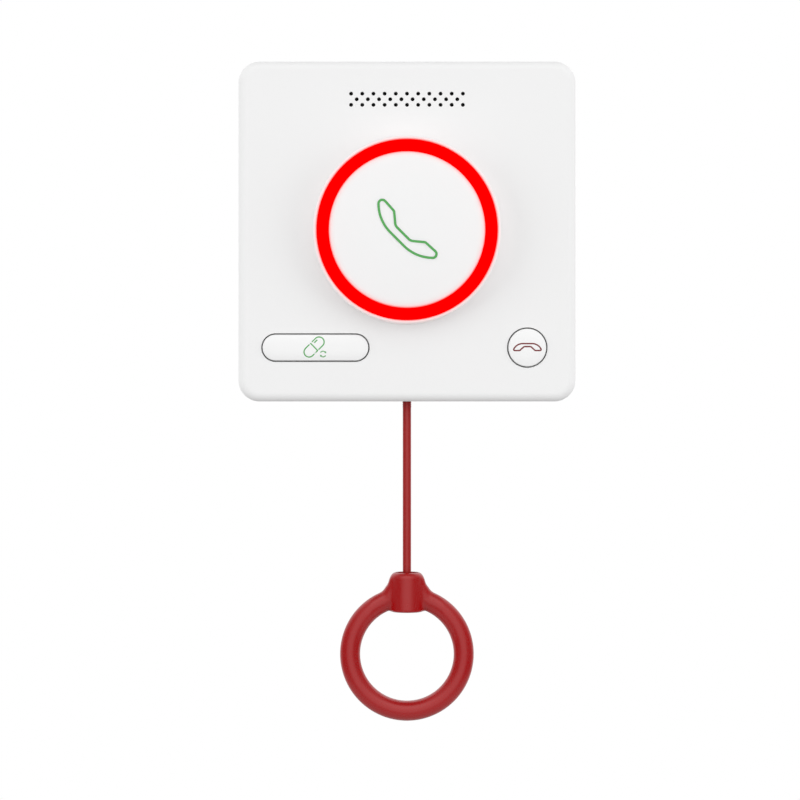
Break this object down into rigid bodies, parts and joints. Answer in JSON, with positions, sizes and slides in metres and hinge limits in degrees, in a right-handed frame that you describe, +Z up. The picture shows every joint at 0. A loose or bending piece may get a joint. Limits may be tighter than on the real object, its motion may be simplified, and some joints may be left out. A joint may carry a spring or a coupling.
{
  "type": "bedhead call terminal",
  "caption": "Wall-hung bedhead call terminal with a lit call button, small buttons, a speaker, and a pull cord whose finger ring works a switch inside.",
  "frame": {"origin": "on the wall, midway between the two slots that fit a wall box, behind the middle of the housing", "axes": "+Z up, +Y into the wall, +X to the right of a person facing the terminal"},
  "size_m": [0.12, 0.0375, 0.2357],
  "materials": {
    "galvanised_steel": "galvanised, satin",
    "white_abs": "fine spark texture, matt",
    "white_polycarbonate": "smooth, satin",
    "red_light_guide": "lit from behind, glossy",
    "green_ink": "satin",
    "red_ink": "satin",
    "silicone_grey": "matt",
    "zinc_screw": "zinc plated",
    "spring_steel": "bright drawn",
    "black_nylon": "satin",
    "ivory_nylon": "satin",
    "green_nylon": "satin",
    "red_nylon": "satin",
    "green_laminate": "solder mask, glossy",
    "led_epoxy": "clear over phosphor",
    "black_epoxy": "moulded, matt",
    "tinned_steel": "tinned, satin",
    "capacitor_can": "drawn, satin",
    "black_paper": "coated paper",
    "nickelled_magnet": "nickel plated",
    "black_foam": "closed cell foam",
    "black_mesh": "woven dust cloth",
    "black_rubber": "moulded, matt",
    "red_wire": "PVC sleeve",
    "black_wire": "PVC sleeve",
    "red_cord": "smooth sheathed cord, satin",
    "red_pull_ring": "moulded, semi-gloss"
  },
  "bodies": {
    "housing": {"wall_plate": "galvanised_steel", "back_cover": "white_abs", "front_cover": "white_abs", "case_gasket": "silicone_grey", "case_screws": "zinc_screw", "lock_screw": "zinc_screw", "call_bezel": "white_polycarbonate", "light_ring": "red_light_guide", "button_frame": "white_abs", "frame_screws": "zinc_screw", "call_springs": "spring_steel", "medicine_boot": "silicone_grey", "cancel_boot": "silicone_grey", "main_board": "green_laminate", "board_screws": "zinc_screw", "ring_leds": "led_epoxy", "tact_switches": "black_nylon", "board_chips": "black_epoxy", "radio_module": "tinned_steel", "capacitors": "capacitor_can", "terminal_block": "green_nylon", "terminal_screws": "zinc_screw", "board_connectors": "ivory_nylon", "speaker_frame": "black_nylon", "speaker_cone": "black_paper", "speaker_magnet": "nickelled_magnet", "speaker_gasket": "black_foam", "speaker_screws": "zinc_screw", "audio_leads": "red_wire", "grille_mesh": "black_mesh", "microphone": "capacitor_can", "microphone_boot": "black_rubber", "cord_bush": "black_nylon", "pull_guide": "ivory_nylon", "guide_cap": "ivory_nylon", "guide_screws": "zinc_screw", "return_spring": "spring_steel", "microswitch": "black_nylon", "switch_screws": "zinc_screw", "switch_leads": "black_wire"},
    "call_button": {"call_cap": "white_polycarbonate", "call_symbol": "green_ink", "call_stem": "black_nylon"},
    "medicine_button": {"medicine_cap": "white_polycarbonate", "medicine_symbol": "green_ink", "medicine_stem": "black_nylon"},
    "cancel_button": {"cancel_cap": "white_polycarbonate", "cancel_symbol": "red_ink", "cancel_stem": "black_nylon"},
    "carrier": {"cord_carrier": "black_nylon", "cord_stop": "zinc_screw", "cord_tail": "red_cord"},
    "lever": {"switch_lever": "spring_steel"},
    "plunger": {"switch_plunger": "red_nylon"},
    "cord": {"pull_cord": "red_cord"},
    "ring": {"pull_ring": "red_pull_ring", "ring_plug": "red_pull_ring", "ring_knot": "red_cord", "cord_end": "red_cord"}
  },
  "joints": [
    {"name": "call_press", "type": "slide", "parent": "housing", "child": "call_button", "axis": [0, 1, 0], "range_m": [0, 0.0012], "stiffness_N_per_m": 1500, "springref_m": -0.0015, "deforming": ["call_springs"]},
    {"name": "medicine_press", "type": "slide", "parent": "housing", "child": "medicine_button", "axis": [0, 1, 0], "range_m": [0, 0.0008], "stiffness_N_per_m": 1500, "springref_m": -0.0008, "deforming": ["medicine_boot"]},
    {"name": "cancel_press", "type": "slide", "parent": "housing", "child": "cancel_button", "axis": [0, 1, 0], "range_m": [0, 0.0008], "stiffness_N_per_m": 1500, "springref_m": -0.0008, "deforming": ["cancel_boot"]},
    {"name": "cord_pull", "type": "slide", "parent": "housing", "child": "carrier", "axis": [0, 0, -1], "range_m": [0, 0.006], "stiffness_N_per_m": 600, "springref_m": -0.008, "deforming": ["return_spring"]},
    {"name": "lever_turn", "type": "hinge", "parent": "housing", "child": "lever", "pos_m": [0.0091, -0.017, -0.0552], "axis": [0, 1, 0], "range_deg": [0, 10.45]},
    {"name": "plunger_press", "type": "slide", "parent": "housing", "child": "plunger", "axis": [1, 0, 0], "range_m": [0, 0.0006]},
    {"name": "cord_swing", "type": "hinge", "parent": "carrier", "child": "cord", "pos_m": [0, -0.017, -0.0586], "axis": [0, 1, 0], "range_deg": [-25, 25]},
    {"name": "ring_tilt", "type": "hinge", "parent": "cord", "child": "ring", "pos_m": [0, -0.017, -0.1221], "axis": [-1, 0, 0], "range_deg": [-8, 30]}
  ],
  "couplings": [
    {"joint": "lever_turn", "follows": "cord_pull", "rad_per_m": 30.25},
    {"joint": "plunger_press", "follows": "cord_pull", "ratio": 0.098}
  ]
}
